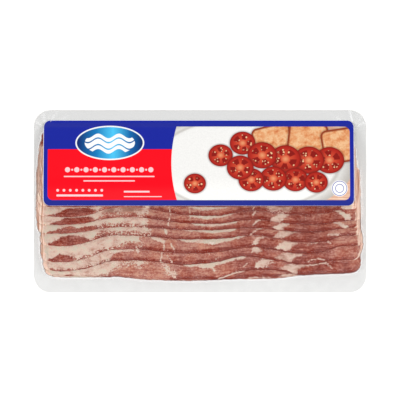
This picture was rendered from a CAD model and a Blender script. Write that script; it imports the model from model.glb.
import math
import bpy
import numpy as np
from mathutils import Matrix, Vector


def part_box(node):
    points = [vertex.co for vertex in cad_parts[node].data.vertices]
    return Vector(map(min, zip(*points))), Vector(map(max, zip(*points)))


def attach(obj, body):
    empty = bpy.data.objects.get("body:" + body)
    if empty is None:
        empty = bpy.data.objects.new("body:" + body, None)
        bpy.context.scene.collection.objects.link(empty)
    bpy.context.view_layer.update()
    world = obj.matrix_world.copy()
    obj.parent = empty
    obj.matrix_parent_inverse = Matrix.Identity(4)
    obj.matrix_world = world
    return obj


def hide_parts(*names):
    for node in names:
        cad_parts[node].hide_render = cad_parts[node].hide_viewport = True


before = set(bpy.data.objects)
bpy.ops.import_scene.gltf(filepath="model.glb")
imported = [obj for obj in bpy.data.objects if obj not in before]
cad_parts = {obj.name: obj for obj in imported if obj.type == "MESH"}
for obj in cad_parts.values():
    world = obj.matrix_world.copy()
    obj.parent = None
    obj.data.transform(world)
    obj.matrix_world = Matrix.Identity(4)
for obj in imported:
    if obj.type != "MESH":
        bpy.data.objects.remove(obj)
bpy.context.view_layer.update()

# Every length below is in millimetres, and mm turns it to Blender's metres.
mm = 0.001
boardHigh = np.array(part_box("backing_board")[1]) / mm

packForm = {
    "pileShift": (-0.25, 0.72),  # how far off the board's middle the pile and its label lie
    "halfLong": boardHigh[0],
    "halfDeep": boardHigh[1],
    "cornerRadius": 14,
    "boardTop": boardHigh[2],
}

# The pile's form, as in the frame's solid: each slice's lower edge, from the lowest slice up, and its waves.
sliceForm = {
    "thickness": 2.35,
    "width": 47,
    "edgeRound": 1.8,
    "thinEdge": 3.4,  # the same for the lowest slices, which are pressed thin at their edge
    "thinCount": 2,
    "endRound": 2.6,
    "cornerRound": 6,
    "squareCorner": 2.2,  # the same at the lower right of all but the lowest slices
    "squareFrom": 3,
    "withinFilm": 0.5,  # how far the meat stays inside the solid's end
    "settle": 26,
    "layGap": 0.03,  # between a slice and the one under it
    "rim": 0.25,  # a slice's thickness at its very edge
    "ragged": 0.16,  # how far the knife wandered
    "lump": 0.06,
    "lumpSlant": 0.6,
    "lumpFrom": 6,
}
edgeStations = [-123, -106, -90, -82, -74, -66, -49, -33, -16, 0, 16, 26, 37, 49, 66, 82, 98, 107, 115, 127]
lowerEdges = [
    [-62.4, -62.9, -62.8, -62.8, -62.6, -62.4, -64.4, -65.1, -65.7, -65.4, -64.9, -64.4, -64.2, -64.1, -63.4,
     -61.2, -60.2, -60, -59.8, -58.7],
    [-61.4, -61.9, -62.2, -62.3, -62.1, -62, -63.7, -64.7, -65.4, -65.2, -64.3, -61, -58.1, -56.6, -57.6,
     -61.1, -60.4, -60.1, -60, -58.9],
    [-57.5, -57.7, -54.8, -52, -49.8, -49.3, -49.1, -50.3, -52.6, -51.8, -50, -47.2, -45.6, -46.8, -49.8,
     -51.8, -51.3, -49.1, -48.7, -48.3],
    [-50.1, -50.1, -46.4, -42.7, -40.7, -40.1, -39.9, -41.6, -43.1, -43.2, -42, -40.2, -38.4, -38, -41.3,
     -43.1, -42.5, -39.8, -37.4, -37],
    [-37, -37, -33.5, -30.7, -28.9, -28.5, -29, -29.9, -31.7, -31.7, -31.3, -30.3, -28.7, -28.5, -31.8,
     -33.9, -33.9, -32, -29.3, -28.2],
    [-27, -26.8, -24.7, -23.3, -22.3, -21.8, -21.9, -22.5, -23.9, -24.3, -24.1, -23.1, -22.3, -22.7, -24.3,
     -25.6, -25.2, -24, -23.1, -22.1],
    [-19.9, -19.8, -17.9, -15.8, -14.6, -13.9, -13.8, -15.8, -18.1, -19, -19, -17.6, -15.9, -15.4, -18,
     -19.4, -19.2, -18.2, -17, -16.1],
    [-12.9, -13.6, -11.6, -8.7, -6.4, -5.5, -5.7, -8.4, -11.2, -12.4, -12.4, -10.7, -8.5, -8.4, -10.7, -11.2,
     -10.8, -9.3, -7.7, -6.8],
    [-4.9, -5.3, -5.5, -4.9, -4.2, -3.9, -3.9, -4.4, -5, -5.2, -5.4, -5, -4.5, -4.4, -4.8, -5.3, -5.1, -4.6,
     -4.3, -4.2],
    [1.8, 2, 2.4, 2.8, 3.3, 3.6, 3.7, 2.9, 2.2, 1.9, *[1.8] * 10],
]
hiddenStep = 4.4  # from slice to slice under the label
lowerEdges += [[height + hiddenStep * i for height in lowerEdges[-1]] for i in (1, 2)]
sliceCount = len(lowerEdges)

endForm = {
    "left": {"longest": 6, "reach": 133.8, "lowest": 125, "top": 130.6},
    "right": {"longest": 3, "reach": 133.2, "lowest": 131, "top": 124.8},
    "curve": 1.6,
}
endWander = {
    "together": 0.25,  # how far the ends stray as one pile
    "alone": 0.25,  # and each by itself
    "ragged": 0.2,  # the same in short waves
    "left": [0, 1.0, 0, 0, -1.0, 0.7, 0.8, 0.3, 0.3, 0, 0, 0],
    "right": [-0.4, 0, -0.7, -1.1, -0.9, -0.3, 0.1, -2.0, -0.6, 0, 0, 0],
    "bulges": [  # one end stands out of the pile, and one is rounder at its upper corner
        {"slice": 2, "side": "right", "at": -33, "reach": 6.5, "out": 2.3},
        {"slice": 6, "side": "right", "at": 30, "reach": 2.2, "out": -3.0},
    ],
}

# What is uneven follows a few sines: a first seed, to which a slice's number is added, and wavelengths.
sines = {
    "lowerEdge": (20, (17, 11, 6.5, 4.1)),
    "thickness": (40, (29, 15, 9)),
    "pileEnd": (60, (34, 19, 11)),
    "sliceEnd": (62, (23, 9)),
    "raggedEnd": (80, (5.3, 3.1)),
    "rind": (30, (13, 7)),
    "seam": (31, (37, 15)),
    "bareEnd": (70, (5, 3)),
    "tone": (100, (47, 23)),
    "creases": (7, (6.3, 3.7)),
}

def smoothstep(low, high, value):  # from 0 at low to 1 at high, which may lie either way
    share = np.clip((value - low) / (high - low), 0, 1)
    return share * share * (3 - 2 * share)

def between(low, high, soft, value):
    return smoothstep(low - soft, low + soft, value) * smoothstep(high + soft, high - soft, value)

def bell(value, at, reach):
    return np.exp(-0.5 * ((value - at) / reach) ** 2)

def quarterRound(distance, radius):
    share = np.clip(distance / radius, 0, 1)
    return np.sqrt(1 - (1 - share) ** 2)

def sineNoise(kind, place, number=0):  # between about -1 and 1
    seed, wavelengths = sines[kind]
    phases = np.random.default_rng(seed + number).uniform(0, 2 * math.pi, len(wavelengths))
    waves = [np.sin(place * 2 * math.pi / length + phase) for length, phase in zip(wavelengths, phases)]
    return sum(waves) / len(wavelengths) ** 0.5

def lowerEdge(index, x):
    places, heights = np.array(edgeStations), np.array(lowerEdges[index])
    slopes = (np.roll(heights, -1) - np.roll(heights, 1)) / (np.roll(places, -1) - np.roll(places, 1))
    slopes[0] = (heights[1] - heights[0]) / (places[1] - places[0])
    slopes[-1] = (heights[-1] - heights[-2]) / (places[-1] - places[-2])
    along = np.clip(x, places[0], places[-1])
    i = np.clip(np.searchsorted(places, along, "right") - 1, 0, len(places) - 2)
    span = places[i + 1] - places[i]
    t = (along - places[i]) / span
    bend = slopes[i] * span * t * (1 - t) ** 2 + slopes[i + 1] * span * t * t * (t - 1)
    ragged = sliceForm["ragged"] * sineNoise("lowerEdge", x, index)
    return heights[i] + (heights[i + 1] - heights[i]) * t * t * (3 - 2 * t) + bend + ragged

def sliceEnd(index, side):
    form = endForm[side]
    longest, top = form["longest"], sliceCount - 1
    below = index < longest
    share = (longest - index) / longest if below else (index - longest) / (top - longest)
    target = form["lowest"] if below else form["top"]
    return form["reach"] + (target - form["reach"]) * share ** endForm["curve"]

def sliceReach(index, side, across):
    left = side == "left"
    square = not left and index >= sliceForm["squareFrom"]
    lowerCorner = sliceForm["squareCorner"] if square else sliceForm["cornerRound"]
    corner = np.where(across < sliceForm["width"] / 2, lowerCorner, sliceForm["cornerRound"])
    inset = np.clip(np.minimum(across, sliceForm["width"] - across), 0, corner)
    y = across + lowerEdges[index][0 if left else -1]
    stray = endWander[side][index] + endWander["together"] * sineNoise("pileEnd", y, 0 if left else 1)
    stray = stray + endWander["alone"] * sineNoise("sliceEnd", y, index)
    stray = stray + endWander["ragged"] * sineNoise("raggedEnd", y, index)
    for bulge in endWander["bulges"]:
        if bulge["slice"] == index and bulge["side"] == side:
            stray = stray + bulge["out"] * bell(y, bulge["at"], bulge["reach"])
    rounded = corner * (1 - quarterRound(inset, corner))
    return sliceEnd(index, side) - rounded - sliceForm["withinFilm"] + stray

def endDistance(index, x, across):
    return np.where(x < 0, sliceReach(index, "left", across), sliceReach(index, "right", across)) - abs(x)

def sliceRise(index, x, y):
    across = y - lowerEdge(index, x)
    toUpper = sliceForm["width"] - across
    upper = smoothstep(0, sliceForm["settle"], toUpper)
    if index == sliceCount - 1:
        upper = quarterRound(toUpper, sliceForm["edgeRound"])
    edgeRound = sliceForm["thinEdge"] if index < sliceForm["thinCount"] else sliceForm["edgeRound"]
    ended = quarterRound(endDistance(index, x, across), sliceForm["endRound"])
    waves = sineNoise("thickness", x + sliceForm["lumpSlant"] * across, index)
    waves = waves * smoothstep(0, sliceForm["lumpFrom"], across)
    lump = 1 + sliceForm["lump"] * waves
    return sliceForm["thickness"] * quarterRound(across, edgeRound) * ended * upper * lump

def pileHeight(x, y, count=sliceCount):
    return sum((sliceRise(index, x, y) for index in range(count)), np.zeros_like(x))

def heightOnBoard(x, y):
    shiftX, shiftY = packForm["pileShift"]
    return pileHeight(x - shiftX, y - shiftY)

# Where fat lies in the lean of each visible slice, from the lowest up: x runs along the slice, and the second
# value is the distance from its lower edge. Below leanTop, at the left, the slice is lean. Patches are closed
# outlines of fat, and strokes are veins of it with half their width. Slices under the label repeat the last.
sliceFat = [
    {
        "leanTop": [(-80.9, 0.1), (-78.5, 2.6), (-73.6, 5.7), (-71.1, 9.7), (-70.3, 60)],
        "patches": [
            [(65.3, 1.7), (68.6, 2.9), (73.1, 2.4), (78.4, 1.8), (81.3, 0.4), (78.8, -1), (73.5, -0.6),
             (69, 0.6)],
            [(-32.6, 14.4), (-26.1, 11.8), (-19.5, 4.7), (-19.9, 1.4), (-21.5, -0.3), (-24.4, 3.7),
             (-29.7, 8)],
        ],
        "strokes": [
            (0.25, [(40, 0.9), (50, 1.1), (58, 0.7)]),
        ],
    },
    {
        "leanTop": [(-111.3, 0.3), (-108.8, 1.4), (-104.7, 1.3), (-101.4, 0.6), (-98.2, 0.1), (-85, 0.3),
            (-81.8, 1.8), (-79.3, 2.7), (-76, 2.8), (-73.6, 4.4), (-71.9, 6.8), (-70.3, 9.3),
            (-69.5, 11.7), (-67.8, 60)],
        "patches": [
            [(-71.9, 15), (-67, 12.1), (-66.6, 9.2), (-68.2, 7.6), (-71.1, 9.3)],
            [(-53.9, 13.7), (-48.2, 14.7), (-45.9, 13.2), (-48.2, 11.2), (-49.8, 10), (-51.5, 11.6)],
            [(-30.4, 14), (-28.3, 13.2), (-26.6, 11.2), (-26.1, 9), (-23.6, 7.1), (-21.1, 6.8),
             (-19.5, 4.4), (-19.9, 1.9), (-21.5, 1.6), (-22.9, 4.5), (-26.5, 6.8), (-28.4, 9.2),
             (-28.8, 11.6)],
            [(-14.6, 14.3), (-12.1, 12.3), (-10.5, 11.7), (-8, 11.1), (-4.8, 11.8), (-0.7, 11.4),
             (2.6, 9.9), (6.7, 9.8), (10, 9.4), (11.6, 10.6), (13.3, 11.8), (16.5, 12), (20.6, 11.9),
             (24.7, 11.7), (28.8, 11.8), (32.9, 11.3), (35.4, 11.2), (38.7, 12.1), (38.7, 15.7),
             (-12.9, 19.2)],
            [(45.2, 2.1), (46, 5.7), (48.5, 7), (51.8, 8.2), (57.5, 9.2), (60, 8.4), (55.1, 5.9),
             (56.3, 4.2), (52.2, 2.3), (47.7, 1.5)],
            [(65.7, 1.5), (69, 5), (71.4, 6.8), (75.5, 7.9), (81.3, 8.3), (85.4, 8.8), (87.8, 7.7),
             (82.1, 5.9), (79.6, 3.5), (80.5, 1.6), (77.2, 0.1), (73.9, 1.1), (71.4, 2.3)],
        ],
        "strokes": [
            (0.5, [(10, 10.7), (12, 7.4)]),
            (0.7, [(15.5, 0.3), (20.6, 0.6), (24.7, 0.6), (29.7, 0.5), (36.2, 0.2)]),
            (0.3, [(36.2, 4.3), (38.9, 6.4)]),
            (0.4, [(86.2, 8), (90.3, 8.5), (94.4, 7.9), (98.5, 8.9), (102.6, 9.4), (105, 7.7), (107.9, 4.5)]),
            (0.25, [(54.2, 3), (55.9, 6.7)]), (0.3, [(-67, 11.7), (-62.1, 10.3), (-57.2, 12.5)]),
        ],
    },
    {
        "leanTop": [(-126, 0.2), (-122.7, 1.9), (-121.1, 2.7), (-119.5, 1.2), (-116.2, 1.5),
            (-112.9, 1.7), (-109.6, 1.2), (-106.3, 2.5), (-103.9, 1.5), (-100.6, 1.2), (-98.2, 1.1),
            (-94.1, 1.5), (-91.6, 3.5), (-88.3, 2.2), (-85, 1.4), (-81.8, 1.6), (-79.3, 2.6),
            (-76.9, 2.8), (-74.8, 2.1), (-74, 2.9), (-71.9, 4.2), (-69.5, 6.1), (-67, 7.2), (-63.7, 7.7),
            (-57.2, 7.6), (-53.9, 7.9), (-52.3, 9.4), (-51.5, 60)],
        "patches": [
            [(-52.9, 10.2), (-49.4, 10.3), (-49.6, 7.6), (-50.6, 5.6), (-51.8, 7.2)],
            [(43.6, 8.8), (46, 8.4), (49.3, 7.5), (51.4, 5.9), (48.5, 4.6), (46.9, 3.2), (44.4, 4.4),
             (42.4, 3.1), (43.2, 6.3)],
            [(61.2, 2.3), (63.2, 3.8), (65.7, 5.6), (69, 7.5), (73.1, 8.3), (78, 8.1), (82.1, 8.2),
             (84.6, 7.1), (79.6, 5.8), (76.4, 4.3), (75.5, 2.1), (73.9, 0.7), (70.6, 1.4), (65.7, 1.7)],
        ],
        "strokes": [
            (0.38, [(-30.6, 9.3), (-31.4, 5.1), (-32.2, -0.3)]),
            (0.33, [(-26.9, 6.2), (-25.6, 4.8), (-23.6, 3.1), (-22.8, 1.2)]),
            (0.3, [(13.3, 2.8), (15.7, 3.6)]), (0.3, [(4.3, 8.9), (7.5, 7.8)]),
            (0.3, [(88.6, 2.1), (92.7, 3.7), (96.8, 4), (101.8, 1.9)]),
        ],
    },
    {
        "leanTop": [(-126, 1), (-122.7, 2.7), (-119.5, 3.6), (-117, 5.5), (-114.5, 7), (-112.1, 6),
            (-108, 5.9), (-104.7, 4.4), (-101.4, 2.4), (-98.2, 2.4), (-94.9, 2.8), (-92.4, 2.7),
            (-89.1, 2.1), (-85, 2.1), (-81.8, 2.4), (-78.5, 2.5), (-76.9, 1.9), (-73.6, 1.5), (-69.5, 2),
            (-65.4, 3.3), (-62.9, 4.8), (-59.6, 6.1), (-54.7, 6.2), (-50.6, 5.5), (-49, 6.4), (-47.8, 60)],
        "patches": [
            [(-40, 11), (-35.9, 11.1), (-31.8, 10.7), (-28.5, 9.4), (-28.5, 6.9), (-31.8, 8.1),
             (-35.9, 8.7), (-39.2, 9.4)],
            [(-17.9, 11.5), (-12.9, 9.7), (-8, 9.2), (-2.3, 9.1), (2.6, 8.6), (6.7, 7.5), (10.8, 6.8),
             (14.9, 7.2), (19, 7.8), (23.1, 7.6), (27.2, 7.7), (31.3, 8.6), (33.8, 8.8), (37, 9.8),
             (35.4, 13.7), (-15.4, 18.2)],
            [(43.2, 2), (44.4, 5.2), (46, 6.9), (49.3, 8.4), (53.4, 9.4), (51, 7.1), (48.5, 5.7),
             (47.7, 3.6), (46, 1.9)],
            [(61, 1.7), (63.4, 3.6), (65.4, 6), (69, 8.6), (72.3, 8.6), (77.2, 8.6), (80.5, 8), (77.2, 6),
             (74.7, 4.5), (73.9, 2.4), (70.6, 0.9), (67.3, 2.1), (63.2, 1.1)],
        ],
        "strokes": [
            (0.36, [(-28.9, 9.7), (-29.3, 1.9)]), (0.45, [(-23.6, 7), (-22.4, 5.1), (-20.7, 3.1)]),
            (0.25, [(87.8, 7.2), (91.9, 8), (96, 8.1)]), (0.25, [(104.2, 7.2), (107.1, 4.6)]),
            (0.4, [(-50.6, 1.8), (-46.5, 4.1)]),
        ],
    },
    {
        "leanTop": [(-126, 0.6), (-122.7, 2.3), (-120.3, 3.1), (-117.8, 4.8), (-115.4, 6.2),
            (-112.1, 7.9), (-108.8, 8.8), (-106.3, 8.9), (-103.1, 7.8), (-98.2, 6.7), (-94.9, 5.5),
            (-91.6, 2.9), (-89.1, 0.9), (-87.5, 0.8), (-85.9, 2.6), (-84.2, 4.1), (-81.8, 4.1),
            (-78.5, 4.4), (-76.9, 4.5), (-74.4, 2.8), (-71.9, 3), (-67.8, 3.2), (-63.7, 2.7),
            (-60.5, 3.4), (-57.2, 2.9), (-53.9, 3.7), (-51.5, 3.3), (-49, 2.5), (-46.5, 1.6),
            (-44.1, 3.5), (-42.4, 5.6), (-40.8, 60)],
        "patches": [
            [(-28.9, 7.8), (-26.7, 6.6), (-26.7, 4.1), (-27.7, 2.7), (-28.7, 4.5)],
            [(-16.2, 8), (-8, 6.8), (-2.3, 6.4), (2.6, 5.9), (6.7, 5.3), (10.8, 4.8), (14.9, 5.2),
             (20.6, 5.5), (26.4, 5.7), (30.5, 6.4), (31.3, 8.7), (-14.6, 11)],
            [(60.2, 0.9), (61.8, 2.8), (63.4, 4.2), (64.9, 6.3), (69.8, 7.8), (73.9, 8.4), (79.6, 8),
             (75.5, 6), (71.4, 4.1), (68.2, 1.9), (64.1, 0.5)],
            [(103.4, 5.3), (105.9, 5.4), (109.1, 4.7), (112.4, 3), (115.2, 1.5), (113.2, 1.6), (110, 3),
             (107.5, 3.6), (104.2, 4.5)],
        ],
        "strokes": [
            (0.4, [(-40, 6.2), (-40.4, 1.6)]), (0.45, [(41.5, 0.2), (43.6, 2.4), (46, 4.3), (50.1, 5.7)]),
        ],
    },
    {
        "leanTop": [(-126, 0.5), (-124.4, 1.7), (-122.7, 2.1), (-118.6, 2.7), (-116.2, 3.9),
            (-112.9, 4.6), (-109.6, 5.6), (-106.3, 6.2), (-103.1, 5.6), (-100.6, 3.8), (-99, 3.2),
            (-96.5, 3.9), (-93.2, 4.2), (-90, 3.9), (-86.7, 4.1), (-83.4, 2.3), (-81.8, 1.2),
            (-80.1, 2.6), (-76.9, 4.4), (-73.6, 3.3), (-71.1, 2.1), (-67.8, 2.3), (-65.4, 3.8),
            (-62.1, 3.4), (-57.2, 2.5), (-52.3, 2), (-49, 1.9), (-45.7, 1.2), (-44.1, 3.7), (-42.4, 6.2),
            (-40.8, 60)],
        "patches": [
            [(-6.4, 5.9), (-3.9, 4.3), (0.2, 3.9), (5.9, 3.6), (11.6, 3.3), (16.5, 3.5), (20.6, 3.7),
             (24.7, 4), (29.7, 4.7), (31.3, 7.6), (11.6, 9.2)],
            [(59.2, 2), (62.4, 3.6), (65.7, 5.1), (69.8, 6.9), (74.7, 6.8), (71.4, 4), (68.2, 2.9),
             (68.6, 0.9), (64.9, 0.1), (62.4, 1.1)],
            [(109.1, 7), (112.4, 5.8), (115.7, 4.7), (119, 2.9), (121.4, 1.3), (119, 0), (116.5, 0.9),
             (114, 3.2), (110, 5.3)],
        ],
        "strokes": [
            (0.3, [(-44.9, 6.9), (-43.4, 3.6)]), (0.3, [(-25.8, 6.8), (-25.6, 2.5)]),
            (0.45, [(43.6, 2.4), (46, 5), (49.3, 7)]),
        ],
    },
    {
        "leanTop": [(-122.7, 0.5), (-121.1, 1.5), (-118.6, 2.4), (-115.4, 3.7), (-112.1, 5.1),
            (-108, 5.8), (-102.2, 5.9), (-98.2, 5.7), (-94.1, 5.7), (-90, 4.6), (-87.5, 3), (-85, 1.2),
            (-83.4, 1.5), (-81.8, 3.5), (-79.3, 5), (-76, 5.3), (-71.9, 4.4), (-67, 4.8), (-61.3, 4.9),
            (-55.5, 4.6), (-50.6, 3.1), (-47.4, 2.5), (-44.9, 4), (-43.3, 5.8), (-41.6, 60)],
        "patches": [
            [(-8, 9.3), (-8, 6.1), (-6.4, 5.3), (-2.3, 5), (2.6, 4.4), (6.7, 4.1), (11.6, 4.6),
             (16.5, 5.2), (20.6, 5.2), (23.9, 5.9), (27.2, 6.4), (28.8, 10.3), (8.4, 12.4)],
            [(57.5, 0.2), (59.2, 3), (62.4, 4.8), (65.7, 7.2), (69.8, 8.7), (73.9, 8.7), (71.4, 5.6),
             (68.2, 4), (67.3, 1.4), (64.9, 0), (60, 0)],
            [(111.6, 11.4), (114.9, 8.9), (118.1, 6.5), (122.2, 5.4), (123.9, 2.9), (123.1, 0.9),
             (119, 0.9), (117.3, 3.7), (114, 7), (110, 10.1)],
        ],
        "strokes": [
            (0.3, [(-45.3, 8.1), (-42.9, 5)]), (0.3, [(-23.6, 7), (-24.4, 3.6), (-25.2, 0.9)]),
            (0.25, [(-8, 8.5), (-8, 3.6)]), (0.4, [(46, 7.2), (43.6, 3.6)]),
            (0.25, [(86.2, 6.9), (86.6, 4)]),
        ],
    },
    {
        "leanTop": [(-126, 0.1), (-122.7, 1.3), (-118.6, 2.4), (-114.5, 3.8), (-111.3, 5.9), (-108, 7.3),
            (-102.2, 7.7), (-96.5, 6.8), (-91.6, 6.1), (-88.3, 4.6), (-85.9, 2.4), (-83.4, 1.2),
            (-81.8, 2.6), (-80.1, 60)],
        "patches": [
            [(-11.3, 8.9), (-8, 6.5), (-3.9, 5.7), (0.2, 5.2), (5.9, 4.8), (10.8, 5.3), (16.5, 5.8),
             (22.3, 6), (27.2, 7.7), (16.5, 12.8), (0.2, 12.9)],
            [(53.4, 6.9), (55.9, 3.2), (58.3, 1.5), (61.6, 1.6), (64.9, 3.3), (68.2, 2.1), (71.4, 2.1),
             (73.9, 4.2), (76.4, 6.7), (75.5, 11.6), (57.5, 10)],
            [(115.7, 5.6), (115.7, 2.4), (118.1, -1.2), (123.1, -3.1), (125.5, 0), (124.7, 7.4),
             (119, 9.4)],
            [(-44.5, 4.3), (-41.6, 4), (-40.8, 1.3), (-43.3, -0.4), (-44.9, 1)],
        ],
        "strokes": [
            (0.22, [(-25.2, 6.8), (-24.4, 0.6)]), (0.25, [(-8.8, 6.7), (-8.4, 1.8)]),
            (0.3, [(45.2, 6.3), (43.6, 1.3)]),
        ],
    },
]

# What changes along the visible slices. A zone is: which slices, where it starts and ends, how softly, how
# much it changes, and at times how far above the lower edge it is nothing and full.
openEnd = 999
everySlice = range(sliceCount)
zones = {
    "tone": [
        (range(2), -72, -28, 10, 0.12),
        (range(2, 4), 110, openEnd, 4, 0.06),
        (everySlice, -openEnd, -84.5, 4.5, -0.46),
        (range(6, 12), -openEnd, -84.5, 4.5, -0.08),
        (range(3, 6), -84, -45, 3, -0.1),
        (range(7, 12), -84, -45, 3, 0.08),
        (everySlice, 26, 64, 7, -0.26),
        (range(1, 3), -openEnd, openEnd, 1, -0.06),
        (everySlice, 61, openEnd, 5, -0.04),
        (everySlice, 67, openEnd, 7, -0.34, (1.2, 0.5)),
        (everySlice, 72, 123, 4, -0.33),
        (range(2, 6), 108, 123, 4, 0.33),
        ([1], 84, 110, 4, -0.12),
    ],
    "paleLip": [([1], -20, 10, 5, 1.3), ([0], 34, 76, 5, 1.3)],
    "broadEdge": [(range(2, 4), -20, 22, 8, 1.5)],
    "fadedEdge": [
        ([0], -openEnd, -57, 3, 0.1),
        ([1], -openEnd, -57, 3, 0.65),
        (range(2), -56, -24, 4, 0.9),
        ([1], 16, 40, 4, 0.5),
        (range(3, 12), -84, -47, 4, 0.5),
        (range(2, 6), -22, 22, 8, 0.15),
        (everySlice, 69, openEnd, 7, 0.45),
    ],
    "deeperLean": [(range(3, 6), -84, -45, 3, 0.8)],
    "mottle": [
        (everySlice, -openEnd, openEnd, 1, 0.12),
        (range(3, 12), -84, -43, 4, 1),
        ([3], -84, -43, 4, -0.4),
        ([6], -84, -43, 4, -0.3),
        ([7], -84, -43, 4, -0.15),
        (range(1, 4), -104, -74, 3, 0.8, (5, 2.5)),
        (range(2), -76, -18, 8, 0.7, (2, 5)),
        ([7], 55, 75, 3, 0.8),
        ([1], 50, 64, 3, 0.6, (1, 3)),
    ],
    "stain": [
        ([5], -80, -48, 5, 0.06, (3, 6)),
        ([6], -80, -48, 5, 0.36, (3, 6)),
        ([7], -80, -48, 5, 0.1, (3, 6)),
        (range(3, 5), -102, -76, 5, 0.12, (3, 6)),
        (range(1, 3), -openEnd, -77, 7, 0.1),
        (range(6, 12), -openEnd, -113, 5, 0.14),
        (range(4, 12), -62, -45, 4, 0.14),
        (range(1, 12), -18, 32, 5, -0.13),
        (everySlice, 55, 88, 6, 0.14),
        (range(5, 7), 55, 88, 6, -0.09),
        ([7], 55, 88, 6, 0.16),
    ],
}
fleshForm = {
    "deep": 4,  # the furthest into lean or fat that its depth is told
    "tone": 0.74,  # where 0 is the darkest lean and 1 the palest
    "toneDrift": 0.08,
    "driftRise": (1, 4),
    "edge": {  # the lean is darkest along a slice's lower edge, but for a pale lip in places
        "from": -84,
        "below": 0.9,
        "full": 1.2,
        "broad": 3.2,
        "lip": 0.8,
        "strong": 0.88,
        "weak": 0.74,
        "weakFrom": 5,
    },
}
rindForm = {
    "left": 3.6,
    "right": [-0.6, -0.6, 1.9, 2.35, 2.8, 3.25, 3.7, 3.7, 3.7, 3.7, 3.7, 3.7],
    "wander": 0.3,
    "fatShort": 0.3,  # how far the fat under the right-hand rind stops short of it
    "soft": 0.6,
    "seamAt": -129,
    "seamWander": 0.35,
    "seamReach": 3,
    "line": 0.8,  # how dark the line at the very end is
    "lineFrom": 0.2,
    "lineTo": 0.85,
    "linedRight": 3,
}
# The uppermost slices' left ends show lean in place of rind, near their upper corner.
bareForm = {
    "slices": range(9, 12),
    "past": -120,
    "from": 45,
    "to": 55.5,
    "soft": 1.5,
    "wander": 0.4,
    "sharp": 9,
}

def insideOutline(x, across, corners):  # how far inside a closed outline, or less than nothing outside it
    nearest = np.full(x.shape, 1e9)
    inside = np.zeros(x.shape, bool)
    for (x0, a0), (x1, a1) in zip(corners, corners[1:] + corners[:1]):
        nearest = np.minimum(nearest, toSegment(x, across, (x0, a0), (x1, a1)))
        if a0 != a1:
            inside ^= ((a0 > across) != (a1 > across)) & (x < (x1 - x0) * (across - a0) / (a1 - a0) + x0)
    return np.where(inside, nearest, -nearest)

def toSegment(x, across, start, end):
    alongX, alongA = end[0] - start[0], end[1] - start[1]
    reached = ((x - start[0]) * alongX + (across - start[1]) * alongA) / (alongX ** 2 + alongA ** 2)
    t = np.clip(reached, 0, 1)
    return np.hypot(x - start[0] - t * alongX, across - start[1] - t * alongA)

def zoneSum(kind, index, x, across):
    total = np.zeros_like(x)
    for slices, start, end, soft, amount, *rises in zones[kind]:
        if index in slices:
            share = between(start, end, soft, x)
            for none, full in rises:
                share = share * smoothstep(none, full, across)
            total += amount * share
    return total

def bareEnd(index, x, across):
    if index not in bareForm["slices"]:
        return np.zeros_like(x)
    y = across + lowerEdges[index][0] + bareForm["wander"] * sineNoise("bareEnd", x, index)
    return between(bareForm["from"], bareForm["to"], bareForm["soft"], y) * (x < bareForm["past"])

def rindBroad(index, left, across):  # the slices' ends: peach-coloured rind, broad at the left
    wander = rindForm["wander"] * sineNoise("rind", across, index)
    return np.where(left, rindForm["left"], rindForm["right"][index]) + wander

def leanDepth(index, x, across):  # how far into lean, or how far into fat below nothing
    shapes = sliceFat[min(index, len(sliceFat) - 1)]
    top = shapes["leanTop"]
    fat = insideOutline(x, across, [(-150, 60), (-150, -8), (top[0][0], -8), *top])
    for corners in shapes["patches"]:
        fat = np.maximum(fat, insideOutline(x, across, corners))
    for half, places in shapes["strokes"]:
        for start, end in zip(places, places[1:]):
            fat = np.maximum(fat, half - toSegment(x, across, start, end))
    rightRind = rindBroad(index, False, across) - rindForm["fatShort"] - endDistance(index, x, across)
    fat = np.minimum(fat, fleshForm["deep"] - bareForm["sharp"] * bareEnd(index, x, across))
    fat = fat - zoneSum("deeperLean", index, x, across)
    fat = np.where(x > 0, np.maximum(fat, rightRind), fat)
    return -np.clip(fat, -fleshForm["deep"], fleshForm["deep"])

def leanTone(index, x, across):
    drift = sineNoise("tone", x, index) * smoothstep(*fleshForm["driftRise"], across)
    tone = fleshForm["tone"] + zoneSum("tone", index, x, across) + fleshForm["toneDrift"] * drift
    tone = tone - darkEdge(index, x, across)
    return np.clip(tone, 0, 1)

def darkEdge(index, x, across):
    edge = fleshForm["edge"]
    lip = zoneSum("paleLip", index, x, across)
    broad = edge["broad"] + zoneSum("broadEdge", index, x, across)
    band = smoothstep(-edge["below"], 0, across - lip)
    band = band * smoothstep(broad, edge["full"], across - edge["lip"] * lip)
    strength = edge["strong"] if index < edge["weakFrom"] else edge["weak"]
    return band * strength * (x > edge["from"]) * (1 - zoneSum("fadedEdge", index, x, across))

def mottling(index, x, across):  # where the lean is threaded with fine fat
    return np.clip(zoneSum("mottle", index, x, across), 0, 1)

def fatStain(index, x, across):  # where the fat is stained by the lean around it
    return zoneSum("stain", index, x, across)

def rindShare(index, x, across):
    broad = rindBroad(index, x < 0, across)
    share = smoothstep(broad + rindForm["soft"], broad - rindForm["soft"], endDistance(index, x, across))
    return share * (1 - bareEnd(index, x, across))

def pastSeam(index, x, across):  # from the brown line where the rind meets the left-hand fat
    stray = rindForm["seamWander"] * sineNoise("seam", across + lowerEdges[index][0])
    past = x + stray - rindForm["seamAt"] - bareForm["sharp"] * bareEnd(index, x, across)
    return np.clip(past, -rindForm["seamReach"], rindForm["seamReach"])

def endLine(index, x, across):  # the dark line round the left-hand ends and the lowest right-hand ones
    near = smoothstep(rindForm["lineTo"], rindForm["lineFrom"], endDistance(index, x, across))
    return np.where((x < 0) | (index < rindForm["linedRight"]), rindForm["line"] * near, 0)

def deselectAll():
    if bpy.context.object and bpy.context.object.mode != "OBJECT":
        bpy.ops.object.mode_set(mode="OBJECT")
    bpy.ops.object.select_all(action="DESELECT")

def choose(piece):
    deselectAll()
    piece.select_set(True)
    bpy.context.view_layer.objects.active = piece

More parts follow.
